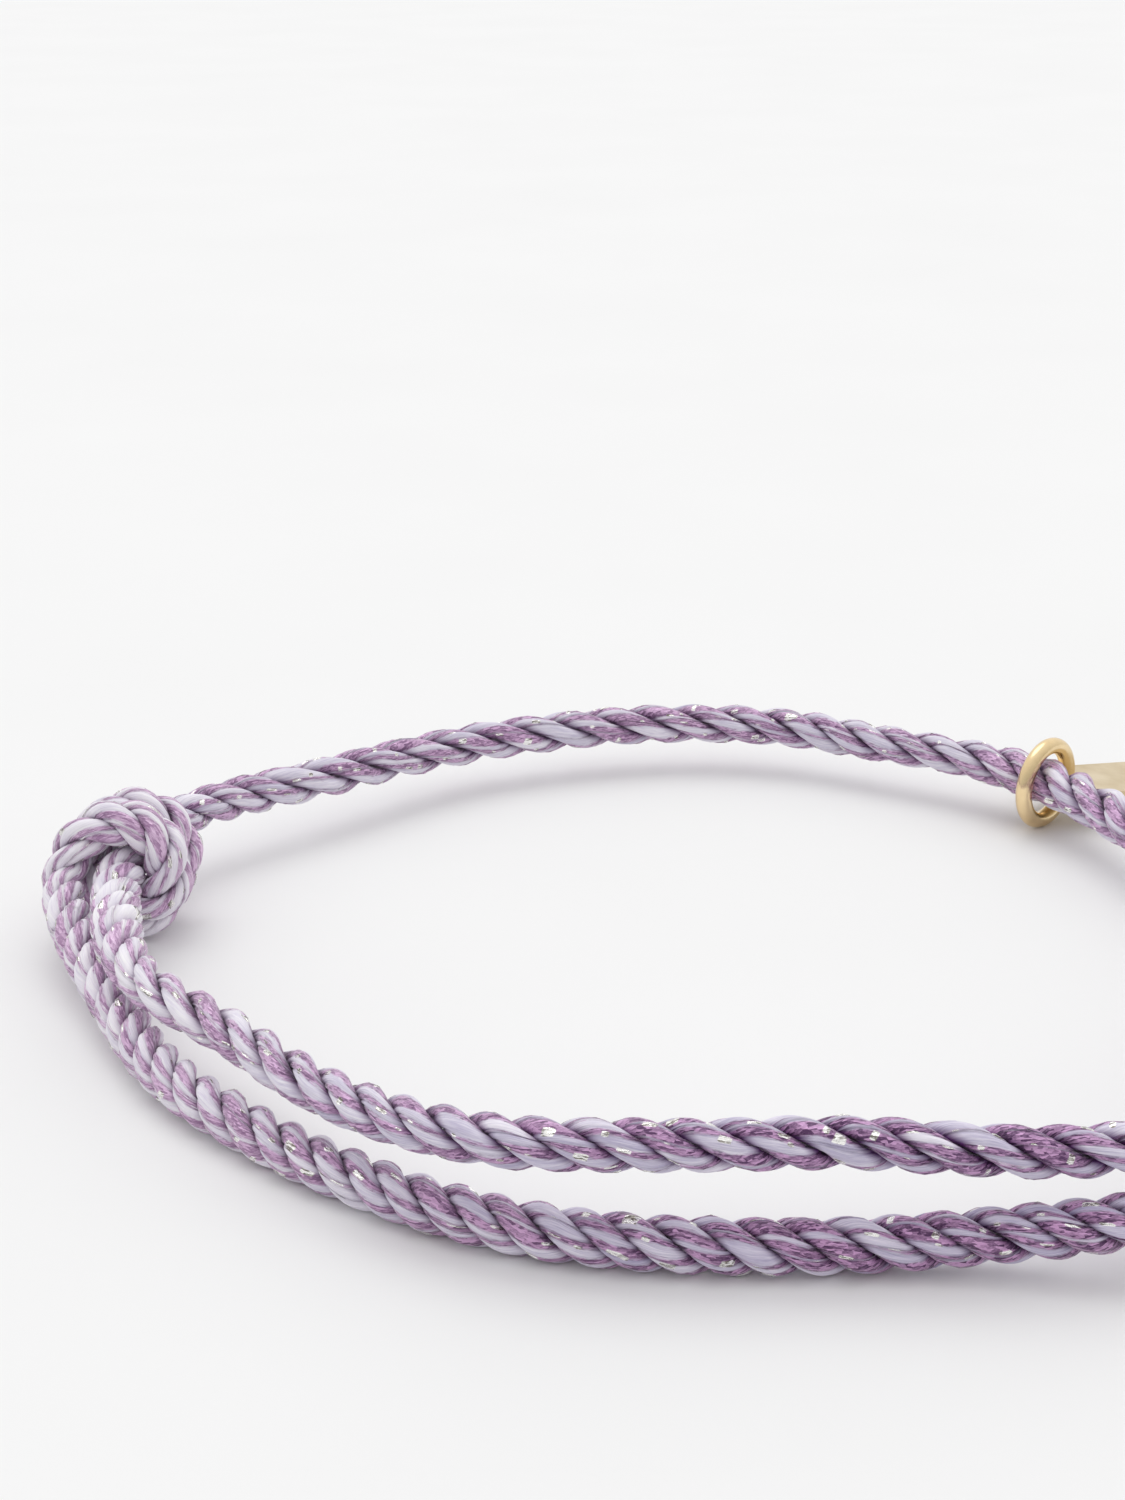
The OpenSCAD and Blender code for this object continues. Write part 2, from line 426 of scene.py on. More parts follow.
# Smooth random change of each value along the cord: a new aim every so many mm, and its size
PLY_RADIUS_WANDER = (3.0, 0.03)
PLY_TURN_WANDER = (9.0, 0.05)
YARN_EDGE_WANDER = (3.0, 0.05)
TINSEL_EDGE_WANDER = (5.0, 0.05)
TONE_WANDER = (6.0, 0.3)
COLUMNS = YARN_COLUMNS * YARNS
print(COLUMNS, "columns of faces round each ply")

# %% [markdown]
# A ply runs round the middle of the cord like a handrail round a stairwell. Its own middle line comes
# first, with two directions square to it: straight out from the middle of the cord, and over to the side.

# %% The middle line of one ply
def ply_line(ply):
    """The middle line of a ply, with its radius, its turn round the cord and its two directions."""
    half = WIDTH / 2
    radius = half * PLY_SHARE * (1 + wander(*PLY_RADIUS_WANDER))
    turn = TURN + 2 * np.pi * ply / PLIES + wander(*PLY_TURN_WANDER)
    outward = np.cos(turn)[:, None] * SIDE + np.sin(turn)[:, None] * ACROSS
    middle = LINE + (half - radius)[:, None] * outward
    heading = unit(np.gradient(middle, axis=0))
    out = square_to(outward, heading)
    return middle, radius, turn, out, np.cross(heading, out)


print("a ply is", PLY_SHARE, "as thick as the cord")

# %% [markdown]
# The yarns share the way round the ply, and their edges wander, so a yarn gets wider, gets narrower and
# dives away. Each yarn makes a low lobe of five columns. Besides its shape, the grid keeps what the finish
# needs later: how far each point is from the edge of a tinsel yarn, and the yarn's own tone.

# %% The yarns round one ply
def yarn_edges(ply):
    """Where each yarn starts on the way round a ply, at each step along the cord."""
    edges = np.cumsum((0,) + YARN_SHARES[ply]) / 100
    edges = edges + np.stack([wander(*YARN_EDGE_WANDER) for edge in edges], axis=1)
    edges[:, -1] = edges[:, 0] + 1
    return np.minimum(np.maximum.accumulate(edges, axis=1), edges[:, -1:])


def ply_profile(ply, radius):
    """For each step and column: the part of a turn, the height of the lobe, the margin and the tone."""
    rows = len(LINE)
    edges = yarn_edges(ply)
    drift = wander(*TINSEL_EDGE_WANDER)
    parts, lobe, margin, tone = (np.empty((rows, COLUMNS)) for _ in range(4))
    for number in range(YARNS):
        tinsel = number % 2 == 1
        width = edges[:, number + 1] - edges[:, number]
        yarn_tone = 0.5 + wander(*TONE_WANDER)
        for step in range(YARN_COLUMNS):
            column = number * YARN_COLUMNS + step
            part = step / YARN_COLUMNS
            parts[:, column] = edges[:, number] + width * part
            lobe[:, column] = 1 - CREASE * abs(2 * part - 1) ** 3
            near_edge = width * min(part, 1 - part) * 2 * np.pi * radius
            margin[:, column] = (near_edge if tinsel else -near_edge) + drift
            tone[:, column] = yarn_tone
            if tinsel and step:
                lobe[:, column] += rng.normal(0, CRINKLE, rows)
    return parts, lobe, margin, tone


print("each yarn makes a lobe", YARN_COLUMNS, "columns wide")

# %% [markdown]
# Line and profile together give the surface of the ply as a grid: one row for each step along the cord,
# one column for each place round the ply. The depth says how far out from the middle of the cord a point
# lies, where 1 is the outside. The places along the three plies start far apart, so that no two plies get
# the same fibres.

# %% The surface of one ply
PLY_APART = 500.0


def ply_surface(ply):
    """Points of a ply as steps by columns, with the values that its finish reads."""
    middle, radius, turn, out, over = ply_line(ply)
    parts, lobe, margin, tone = ply_profile(ply, radius)
    angles = 2 * np.pi * parts + (YARN_TURNS * (turn - turn[0]))[:, None]
    facing = np.cos(angles)
    reach = (radius[:, None] * lobe)[:, :, None]
    round_middle = facing[:, :, None] * out[:, None] + np.sin(angles)[:, :, None] * over[:, None]
    points = middle[:, None] + reach * round_middle
    depth = np.linalg.norm(points - LINE[:, None], axis=2) / (WIDTH / 2)[:, None]
    steps = np.linalg.norm(np.diff(middle, axis=0), axis=1)
    along = PLY_APART * ply + np.concatenate([[0.0], np.cumsum(steps)])
    worn = np.repeat(WORN[:, None], COLUMNS, axis=1)
    return {"points": points, "middle": middle, "radius": radius, "along": along, "facing": facing,
            "margin": margin, "tone": tone, "depth": depth, "worn": worn}


PLY_GRIDS = [ply_surface(ply) for ply in range(PLIES)]
print(PLIES, "plies of", PLY_GRIDS[0]["points"].shape[:2], "points")

# %% [markdown]
# Now and then a sliver of bare silver film comes up between the yarns and glints. Each sliver is a small
# patch of the ply's own surface: a few neighbouring points are lifted a hair and marked, and the finish
# turns the marked patch to silver. Loose flakes laid on top would also work, but they would be more than
# a thousand tiny parts that can float.

# %% Slivers of silver film
SLIVER_EVERY = 0.9
SLIVER_LIFT = 0.04
SLIVER_ROWS = (1, 2)
SLIVER_COLUMNS = (1, 3)
SLIVER_FACING = 0.25
SLIVER_MARGIN = -0.03
# Each sliver is moved along the cord by up to this many rows
SLIVER_SHIFT = 2.5
# About how many rows in from the two cut ends the first and the last sliver lie before they are moved
FREE_ROWS = (4, 9)


def add_slivers(grid):
    """Lifts and marks small patches on the outer side of one ply."""
    points, middle = grid["points"], grid["middle"]
    marks = np.zeros(points.shape[:2])
    count = int(DISTANCE[-1] / SLIVER_EVERY)
    rows = np.linspace(FREE_ROWS[0], len(points) - FREE_ROWS[1], count)
    rows = rows + rng.uniform(-SLIVER_SHIFT, SLIVER_SHIFT, count)
    for row in rows.astype(int):
        outer = (grid["facing"][row] > SLIVER_FACING) & (grid["margin"][row] > SLIVER_MARGIN)
        column = rng.choice(np.flatnonzero(outer)) if outer.any() else 0
        tall = rng.integers(*SLIVER_ROWS, endpoint=True)
        wide = rng.integers(*SLIVER_COLUMNS, endpoint=True)
        for i in range(row, row + tall):
            for j in range(column, column + wide):
                marks[i, j % COLUMNS] = 1.0
    outward = unit(points - middle[:, None])
    points += SLIVER_LIFT * marks[:, :, None] * outward
    grid["silver"] = marks
    return count


print(sum(add_slivers(grid) for grid in PLY_GRIDS), "slivers of silver film")

# %% [markdown]
# A cord that is cut off doesn't end in three flat discs. The yarns are sealed and pulled together a
# little, so the last stretch of each ply is rounded off. A bevel would do for a few plain edges, but here
# it is simpler to draw the points in towards the middle of the ply. Only the two real ends get this.

# %% Round off the two cut ends
END_ROUND = 0.7
END_SHRINK = 0.75


def round_ends(grid):
    from_end = np.minimum(DISTANCE, DISTANCE[-1] - DISTANCE)
    part = np.clip(1 - from_end / END_ROUND, 0, 1)
    shrink = np.sqrt(1 - END_SHRINK * part * part)[:, None, None]
    grid["points"] = grid["middle"][:, None] + shrink * (grid["points"] - grid["middle"][:, None])


for grid in PLY_GRIDS:
    round_ends(grid)
print("both cut ends rounded over", END_ROUND, "mm")

# %% [markdown]
# ## From grids to meshes
# The five pieces are cut out of the same three grids, so plies and yarns run on across every joint. Each
# ply becomes a closed tube with a fan of triangles at either end. Two maps are unrolled with it. The
# yarn map is in millimetres, along the ply and across it, and places fibres and crinkles. The other one
# lays the long strips beside each other in rows in a square, for programs that need a picture of the
# finish.

# %% Faces and map places of one ply
BAKE_GAP = 0.3
CAP_CELL = 1.4
# Radius of a fan on the map, as a part of its cell
CAP_RADIUS = 0.4


def tube_corners(rows):
    """Row and column of the four corners of each face of an open tube."""
    row, column = np.meshgrid(np.arange(rows - 1), np.arange(COLUMNS), indexing="ij")
    rows_of = np.stack([row, row, row + 1, row + 1], axis=-1).reshape(-1, 4)
    columns_of = np.stack([column, column + 1, column + 1, column], axis=-1).reshape(-1, 4)
    return rows_of, columns_of


def cap_corners(ring_start, centre, closes):
    """A fan of triangles over one end of a tube, facing out of it."""
    ring = np.arange(COLUMNS)
    ahead = (ring + 1) % COLUMNS
    pair = (ring, ahead) if closes else (ahead, ring)
    return np.stack([ring_start + pair[0], ring_start + pair[1], np.full(COLUMNS, centre)], axis=-1)


def cap_map(centre, closes):
    """Map places of a fan, round a centre."""
    angle = 2 * np.pi * np.arange(COLUMNS + 1) / COLUMNS
    rim = np.array(centre) + CAP_RADIUS * CAP_CELL * np.stack([np.cos(angle), np.sin(angle)], axis=-1)
    pair = (rim[:-1], rim[1:]) if closes else (rim[1:], rim[:-1])
    return np.stack([*pair, np.broadcast_to(centre, (COLUMNS, 2))], axis=1)


print("a fan closes each end of a ply with", COLUMNS, "triangles")

# %% [markdown]
# A ply of the back run is more than a hundred millimetres long, and unrolled it is less than four wide.
# As one strip it would be a thread across the picture and waste nearly all of it. Cut into rows that lie
# under each other, it fills a square. Blender's own packing of islands moves and turns them but doesn't
# cut them, so the strips would have to be cut into rows first all the same.

# %% Lay the strips of a piece in rows
MOST_ROWS = 11
# Each row is one hundredth longer than needed, so the last one stays a little short of full
STRIP_SLACK = 1.01


def strip_rows(length, around):
    """How many rows each ply's strip is cut into, so that all of them fill about a square."""
    def side(rows):
        return max(length / rows + CAP_CELL, PLIES * rows * (around + BAKE_GAP))
    rows = min(range(1, MOST_ROWS + 1), key=side)
    return rows, length / rows, side(rows)


for name in STRETCHES:
    travel = np.ptp(PLY_GRIDS[0]["along"][slice(*CUTS[name])])
    rows = strip_rows(travel, 2 * math.pi * PLY_GRIDS[0]["radius"].mean())[0]
    print(name, "has plies of about", round(travel), "mm, cut into", rows, "rows")

# %% [markdown]
# Now one ply is cut out of its grid for one stretch of cord. The part has its points, with the middle of
# both fans last, the faces between them, the values that the finish reads and the places on both maps.
# Only the numbers of the rows differ from stretch to stretch, so neighbours share a cross-section exactly.

# %% One ply of one stretch
# How far beyond the rows the middle of a fan lies, as a part of its cell
CAP_OFFSET = 0.55


def ply_part(number, name):
    """Points, corners, values and map places of one ply in one stretch of the cord."""
    grid, (first, last) = PLY_GRIDS[number], CUTS[name]
    cut = slice(first, last + 1)
    rows = last - first + 1
    along = grid["along"][cut]
    travel = along - along[0]
    around = 2 * np.pi * grid["radius"][cut].mean()
    rows_of, columns_of = tube_corners(rows)
    strips, strip_length, side = strip_rows(travel[-1] * STRIP_SLACK, around)

    middle = travel[rows_of].mean(axis=1, keepdims=True)
    strip = np.minimum((middle // strip_length).astype(int), strips - 1)
    across = columns_of * around / COLUMNS
    base = (number * strips + strip) * (around + BAKE_GAP)
    yarn_map = np.stack([along[rows_of], across], axis=-1)
    bake_map = np.stack([travel[rows_of] - strip * strip_length, across + base], axis=-1) / side

    ring_count = rows * COLUMNS
    caps, cap_yarn, cap_bake = [], [], []
    for closes, ring_start in ((False, 0), (True, ring_count - COLUMNS)):
        place = [strip_length + CAP_OFFSET * CAP_CELL, (2 * number + closes + 0.5) * CAP_CELL]
        place = np.array(place)
        caps.append(cap_corners(ring_start, ring_count + closes, closes))
        cap_yarn.append(cap_map(place, closes))
        cap_bake.append(cap_map(place, closes) / side)
    values = {}
    for key in ("margin", "tone", "depth", "worn", "silver"):
        centre_value = grid[key][[first, last]].mean(axis=1)
        values[key] = np.concatenate([grid[key][cut].reshape(-1), centre_value])
    return {
        "points": np.concatenate([grid["points"][cut].reshape(-1, 3), grid["middle"][[first, last]]]),
        "quads": rows_of * COLUMNS + columns_of % COLUMNS, "caps": np.concatenate(caps),
        "values": values,
        "quad_maps": (yarn_map, bake_map),
        "cap_maps": (np.concatenate(cap_yarn), np.concatenate(cap_bake)),
    }


print("a ply of the near strand has", len(ply_part(0, "lower_strand")["points"]), "points")

# %% [markdown]
# Three plies joined into one mesh make a piece of cord. Three objects a piece would look the same, but the
# cord is one thing with one name, and so it is one object.

# %% Make a piece of cord as one mesh
MAPS = ("YarnMap", "OFBake")


def cord_piece(name):
    parts = [ply_part(number, name) for number in range(PLIES)]
    starts = np.cumsum([0] + [len(part["points"]) for part in parts])
    quads = np.concatenate([part["quads"] + start for part, start in zip(parts, starts)])
    caps = np.concatenate([part["caps"] + start for part, start in zip(parts, starts)])
    points = np.concatenate([part["points"] for part in parts]) * MM
    mesh = bpy.data.meshes.new(name)
    mesh.from_pydata(points.tolist(), [], quads.tolist() + caps.tolist())
    mesh.polygons.foreach_set("use_smooth", [True] * len(quads) + [False] * len(caps))
    for number, layer in enumerate(MAPS):
        places = [part["quad_maps"][number].reshape(-1, 2) for part in parts]
        places += [part["cap_maps"][number].reshape(-1, 2) for part in parts]
        mesh.uv_layers.new(name=layer).data.foreach_set("uv", np.concatenate(places).ravel())
    for key in parts[0]["values"]:
        attribute = mesh.attributes.new(key, "FLOAT", "POINT")
        attribute.data.foreach_set("value", np.concatenate([part["values"][key] for part in parts]))
    mesh.validate()
    piece = bpy.data.objects.new(name, mesh)
    bpy.context.collection.objects.link(piece)
    return piece


CORD_PIECES = {name: cord_piece(name) for name in STRETCHES}
for name, piece in CORD_PIECES.items():
    print(name, len(piece.data.polygons), "faces")

# %% [markdown]
# ## The finish of the yarns
# Colour, gloss and fine relief come from shader nodes, so they stay sharp at any distance. A few short
# helpers keep the node code readable: one puts a node into a tree and fills its sockets with numbers or
# links, and the others are the sums and mixes that are used again and again.

# %% Helpers for shader nodes
# The Mix node keeps sockets of every kind. These are the numbers of its colour and of its value sockets.
MIX_A, MIX_B, MIX_RESULT = 6, 7, 2
MIX_VALUE_A, MIX_VALUE_B = 2, 3


def put(tree, kind, inputs=None, **settings):
    """Adds a node. An input is given a number or colour, or is linked if it is another node's socket."""
    node = tree.nodes.new(kind)
    for name, value in settings.items():
        setattr(node, name, value)
    for name, value in (inputs or {}).items():
        if isinstance(value, bpy.types.NodeSocket):
            tree.links.new(value, node.inputs[name])
        else:
            node.inputs[name].default_value = value
    return node


def calc(tree, operation, a, b):
    return put(tree, "ShaderNodeMath", {0: a, 1: b}, operation=operation).outputs[0]


def span(tree, value, low, high, to_low=0.0, to_high=1.0):
    """Stretches the part of a value between two limits to a new range, and holds it there."""
    sockets = {"Value": value, "From Min": low, "From Max": high, "To Min": to_low, "To Max": to_high}
    return put(tree, "ShaderNodeMapRange", sockets).outputs["Result"]


def mix_colour(tree, share, a, b, blend="MIX"):
    sockets = {0: share, MIX_A: a, MIX_B: b}
    return put(tree, "ShaderNodeMix", sockets, data_type="RGBA", blend_type=blend).outputs[MIX_RESULT]


def mix_value(tree, share, a, b):
    return put(tree, "ShaderNodeMix", {0: share, MIX_VALUE_A: a, MIX_VALUE_B: b}).outputs[0]


def place_on(tree, x, y):
    return put(tree, "ShaderNodeCombineXYZ", {0: x, 1: y}).outputs[0]


def noise(tree, place, scale=1.0, detail=2.0, roughness=0.5):
    sockets = {"Vector": place, "Scale": scale, "Detail": detail, "Roughness": roughness}
    return put(tree, "ShaderNodeTexNoise", sockets).outputs["Fac"]


def colour(red, green, blue):
    """A colour as a painter's program shows it, from 0 to 255, turned into the light that Blender mixes."""
    def light(part):
        part /= 255
        return part / 12.92 if part <= 0.04045 else ((part + 0.055) / 1.055) ** 2.4
    return (light(red), light(green), light(blue), 1.0)


print("middle grey is", tuple(round(part, 3) for part in colour(128, 128, 128)))

# %% [markdown]
# Five effects are shared by both finishes of the cord, so each is a node group: it is built once, and each
# material sets its own numbers on it. The first is the look of spun fibres: long thin streaks along the
# yarn. Stretched noise gives them. A wave texture would be quicker, but its lines are too even for spun
# thread.

# %% Spun fibres
FIBRE_BEND, FIBRE_BEND_SCALE = 3.0, 0.15
FIBRE_DARK, FIBRE_BRIGHT = 0.32, 0.68


def new_group(name, inputs, outputs):
    """A node group with number sockets: inputs as name and starting value, outputs as names."""
    tree = bpy.data.node_groups.new(name, "ShaderNodeTree")
    for socket, value in inputs:
        item = tree.interface.new_socket(name=socket, in_out="INPUT", socket_type="NodeSocketFloat")
        item.default_value = value
    for socket in outputs:
        tree.interface.new_socket(name=socket, in_out="OUTPUT", socket_type="NodeSocketFloat")
    return tree, tree.nodes.new("NodeGroupInput"), tree.nodes.new("NodeGroupOutput")


def outputs_of(tree):
    return [item.name for item in tree.interface.items_tree if item.in_out == "OUTPUT"]


def fibre_group():
    tree, given, result = new_group(
        "Spun fibres",
        [("Along", 0.0), ("Across", 0.0), ("Fibre Length", 1.2), ("Fibre Width", 0.055)],
        ["Shade", "Height"])
    along = calc(tree, "DIVIDE", given.outputs["Along"], given.outputs["Fibre Length"])
    across = calc(tree, "DIVIDE", given.outputs["Across"], given.outputs["Fibre Width"])
    wide = calc(tree, "MULTIPLY", across, FIBRE_BEND_SCALE)
    slack = noise(tree, place_on(tree, along, wide), detail=1.0)
    bent = calc(tree, "ADD", across, calc(tree, "MULTIPLY", slack, FIBRE_BEND))
    streaks = noise(tree, place_on(tree, along, bent), detail=3.0, roughness=0.6)
    tree.links.new(span(tree, streaks, FIBRE_DARK, FIBRE_BRIGHT), result.inputs["Shade"])
    tree.links.new(streaks, result.inputs["Height"])
    return tree


FIBRES = fibre_group()
print(FIBRES.name, "puts out", outputs_of(FIBRES))

# %% [markdown]
# Tinsel is film cut to a thin ribbon. Twisted with the other yarns it folds into narrow slanted facets,
# some bright and some dark. Voronoi cells, drawn out along the yarn and slanted, make those facets. Their
# height tilts the surface through the bump, and their brightness is painted reflection in the colour.

# %% Crinkled film with painted glints
FACET_SLANT = 0.7
FACET_STRETCH = 0.24
FACET_SHARE = 0.5
RIPPLE_SCALE = 2.2
RIPPLE_RELIEF = 0.6
FILM_DARK, FILM_BRIGHT = 0.3, 0.7


def film_group():
    tree, given, result = new_group(
        "Crinkled film and painted glints", [("Along", 0.0), ("Across", 0.0), ("Facet Size", 0.06)], ["Light", "Height"])
    slant = calc(tree, "MULTIPLY", given.outputs["Across"], FACET_SLANT)
    along = calc(tree, "MULTIPLY", calc(tree, "ADD", given.outputs["Along"], slant), FACET_STRETCH)
    size = given.outputs["Facet Size"]
    place = place_on(
        tree, calc(tree, "DIVIDE", along, size), calc(tree, "DIVIDE", given.outputs["Across"], size))
    cells = put(tree, "ShaderNodeTexVoronoi", {"Vector": place, "Scale": 1.0, "Randomness": 1.0})
    shade = put(tree, "ShaderNodeSeparateColor", {0: cells.outputs["Color"]}).outputs[0]
    ripple = noise(tree, place, scale=RIPPLE_SCALE)
    light = calc(tree, "ADD", calc(tree, "MULTIPLY", shade, FACET_SHARE),
                 calc(tree, "MULTIPLY", ripple, 1 - FACET_SHARE))
    # The facets' light and dark, used for the colour below: painted reflection
    tree.links.new(span(tree, light, FILM_DARK, FILM_BRIGHT), result.inputs["Light"])
    fold = calc(tree, "ADD", cells.outputs["Distance"], calc(tree, "MULTIPLY", ripple, RIPPLE_RELIEF))
    tree.links.new(fold, result.inputs["Height"])
    return tree


FILM = film_group()
print(FILM.name, "puts out", outputs_of(FILM))

# %% [markdown]
# Little light reaches the grooves between the plies, where the yarns are packed tight. The renderer works
# out most of that shadow by itself. The group below adds painted shade on top: it darkens the colour of
# the yarn deep in the groove, from how far out each point lies.

# %% Painted shade in the grooves
def groove_group():
    tree, given, result = new_group(
        "Painted groove shade", [("Depth", 1.0), ("Groove", 0.56), ("Open", 0.86)], ["Shade"])
    shade = span(tree, given.outputs["Depth"], given.outputs["Groove"], given.outputs["Open"])
    tree.links.new(shade, result.inputs["Shade"])
    return tree


GROOVE = groove_group()
print(GROOVE.name, "puts out", outputs_of(GROOVE))

# %% [markdown]
# Where a soft yarn meets tinsel, stray fibres cross over, so the edge between them is ragged. The mesh
# carries how far each point is inside a tinsel yarn. The next group shifts that distance with streaky
# noise and turns it into a share of tinsel. Separate materials for the yarns would give clean cut edges,
# like painted stripes.

# %% Ragged edge between two yarns
STRAY_ALONG, STRAY_ACROSS = 1.3, 9.0


def scaled_place(tree, given, along, across):
    """The group's place on the yarn map, with each direction stretched by its own number."""
    return place_on(tree, calc(tree, "MULTIPLY", given.outputs["Along"], along),
                    calc(tree, "MULTIPLY", given.outputs["Across"], across))


def edge_group():
    tree, given, result = new_group(
        "Ragged edge",
        [("Along", 0.0), ("Across", 0.0), ("Margin", 0.0), ("Cover", 0.0), ("Raggedness", 0.42),
         ("Feather", 0.055)],
        ["Tinsel"])
    place = scaled_place(tree, given, STRAY_ALONG, STRAY_ACROSS)
    stray = calc(tree, "SUBTRACT", noise(tree, place, detail=5.0, roughness=0.65), 0.5)
    shift = calc(tree, "MULTIPLY", stray, given.outputs["Raggedness"])
    edge = calc(tree, "ADD", given.outputs["Margin"], shift)
    edge = calc(tree, "SUBTRACT", edge, given.outputs["Cover"])
    feather = given.outputs["Feather"]
    tinsel = span(tree, edge, calc(tree, "MULTIPLY", feather, -1.0), feather)
    tree.links.new(tinsel, result.inputs["Tinsel"])
    return tree


EDGE = edge_group()
print(EDGE.name, "puts out", outputs_of(EDGE))

# %% [markdown]
# Near the knots the cord has been pulled through often. There the yarn is rubbed open, and its loose
# fibres catch the light and look pale. The last group gives that as a mask: patchy, weaker on the tinsel
# and weaker down in the grooves, which nothing rubs against. Pale colour laid evenly over the worn part
# would be simpler, but wear is never that even.

# %% Rubbed yarn
PATCH_SCALE = 0.5
PATCH_LOW, PATCH_HIGH = 0.3, 0.6


def rubbed_group():
    tree, given, result = new_group(
        "Rubbed yarn",
        [("Along", 0.0), ("Across", 0.0), ("Worn", 0.0), ("Groove Shade", 1.0), ("Tinsel", 0.0),
         ("Least", 0.6), ("Most", 1.0), ("On Tinsel", 0.5), ("In Groove", 0.5)],
        ["Pale"])
    patches = noise(tree, scaled_place(tree, given, PATCH_SCALE, PATCH_SCALE), detail=1.0)
    share = span(
        tree, patches, PATCH_LOW, PATCH_HIGH, given.outputs["Least"], given.outputs["Most"])
    reached = span(tree, given.outputs["Groove Shade"], 0.0, 1.0, given.outputs["In Groove"], 1.0)
    yarn = span(tree, given.outputs["Tinsel"], 0.0, 1.0, 1.0, given.outputs["On Tinsel"])
    pale = calc(tree, "MULTIPLY", calc(tree, "MULTIPLY", given.outputs["Worn"], share), reached)
    tree.links.new(calc(tree, "MULTIPLY", pale, yarn), result.inputs["Pale"])
    return tree


RUBBED = rubbed_group()
print(RUBBED.name, "puts out", outputs_of(RUBBED))

# %% [markdown]
# Now the finish of the cord itself. One material holds all three yarns and mixes them by the values that
# the mesh carries. The next cell feeds the five groups. Rubbed yarn has more stray fibres, so there the
# edges between the yarns get more ragged, and lilac fibres spread a little over the tinsel.

# %% The five effects in one material
# For rubbed yarn: how far it spreads over the tinsel, in mm, and how much more ragged the edges are
WORN_COVER = 0.02
WORN_STRAY = 0.4


def carried(tree, key):
    """A value that the mesh carries at each point."""
    return put(tree, "ShaderNodeAttribute", attribute_name=key).outputs["Fac"]


def group_node(tree, group, inputs):
    return put(tree, "ShaderNodeGroup", inputs, node_tree=group).outputs


def cord_effects(tree, fibre_width, raggedness):
    """The outputs of the fibre, film, groove, edge and rubbed groups, placed in a material."""
    place = put(tree, "ShaderNodeUVMap", uv_map=MAPS[0]).outputs["UV"]
    parts = put(tree, "ShaderNodeSeparateXYZ", {0: place})
    spot = {"Along": parts.outputs["X"], "Across": parts.outputs["Y"]}
    worn = carried(tree, "worn")
    fibres = group_node(tree, FIBRES, {**spot, "Fibre Width": fibre_width})
    film = group_node(tree, FILM, spot)
    # Painted shade: darkens the yarn deep in the grooves between the plies
    groove = group_node(tree, GROOVE, {"Depth": carried(tree, "depth")})
    cover = calc(tree, "MULTIPLY", worn, WORN_COVER)
    ragged = calc(tree, "ADD", calc(tree, "MULTIPLY", worn, WORN_STRAY), raggedness)
    margin = {"Margin": carried(tree, "margin"), "Cover": cover, "Raggedness": ragged}
    edge = group_node(tree, EDGE, {**spot, **margin})
    touch = {"Worn": worn, "Groove Shade": groove["Shade"], "Tinsel": edge["Tinsel"]}
    rubbed = group_node(tree, RUBBED, {**spot, **touch})
    return {"fibres": fibres, "film": film, "open": groove["Shade"], "tinsel": edge["Tinsel"],
            "pale": rubbed["Pale"]}


print("worn yarn covers the tinsel's edge by", WORN_COVER, "mm")

# %% [markdown]
# Each yarn has a light and a deep colour, and the fibres or facets choose between the two. For tinsel and
# silver film that choice is painted reflection: the facets are lighter or darker in colour. Then comes
# painted shade in the groove, which multiplies the yarn with a dark colour, then the pale rubbed yarn,
# and last the silver slivers, which cover all of it. One even colour for each yarn would be simpler, but
# the fibres and facets would be lost.

# %% The colours of the cord
# Light and deep colour of rubbed soft yarn, of rubbed tinsel and of bare silver film. For the tinsel and
# the silver the facets choose between them as painted reflection; the silver's deep colour is a painted
# dark reflection.
WORN_SOFT = colour(255, 253, 255), colour(238, 232, 244)
WORN_TINSEL = colour(255, 235, 254), colour(230, 184, 228)
SILVER_AND_PAINTED_REFLECTION = colour(252, 251, 248), colour(126, 119, 112)
SILVER_FULL_LIGHT = 0.5
FIBRE_TONE = 0.5


def between(tree, share, pair):
    """A colour between the light and the deep one of a pair: light where the share is 1."""
    return mix_colour(tree, share, pair[1], pair[0])


def cord_colour(tree, effects, silver_share, soft, tinsel, groove_shade_colour):
    """The colour of the cord, with painted shade in the grooves. Soft yarn and tinsel have a light and a
    deep colour each; the tinsel's two are painted reflection of its facets.
    """
    fibres, film = effects["fibres"], effects["film"]
    tone = calc(tree, "ADD", calc(tree, "MULTIPLY", fibres["Shade"], FIBRE_TONE),
                calc(tree, "MULTIPLY", carried(tree, "tone"), 1 - FIBRE_TONE))
    # Tinsel takes its light or deep colour by its facets: painted reflection
    yarn = mix_colour(
        tree, effects["tinsel"], between(tree, tone, soft), between(tree, film["Light"], tinsel))
    # Painted shade: the yarn deep in a groove is multiplied with a dark colour
    shaded_yarn = mix_colour(tree, 1.0, yarn, groove_shade_colour, "MULTIPLY")
    yarn = mix_colour(tree, effects["open"], shaded_yarn, yarn)
    # Rubbed tinsel, too, is lighter or darker by its facets: painted reflection
    worn_yarn = mix_colour(
        tree, effects["tinsel"], between(tree, fibres["Shade"], WORN_SOFT),
        between(tree, film["Light"], WORN_TINSEL))
    yarn = mix_colour(tree, effects["pale"], yarn, worn_yarn)
    # Bare silver film: near-white metal, with a painted dark reflection on its dark facets
    silver = between(tree, span(tree, film["Light"], 0.0, SILVER_FULL_LIGHT), SILVER_AND_PAINTED_REFLECTION)
    return mix_colour(tree, silver_share, yarn, silver)


print("light rubbed yarn is", tuple(round(part, 2) for part in WORN_SOFT[0]))

# %% [markdown]
# Soft yarn is matt, tinsel is glossier and a little metallic, and bare film is bright metal. The fibres
# and facets are far too fine to be modelled, so a Bump node bends the light as if they stood out by a few
# hundredths of a millimetre. A light sheen stands for the fuzz of the yarn, and it is the same everywhere,
# so it is set on the shader itself.

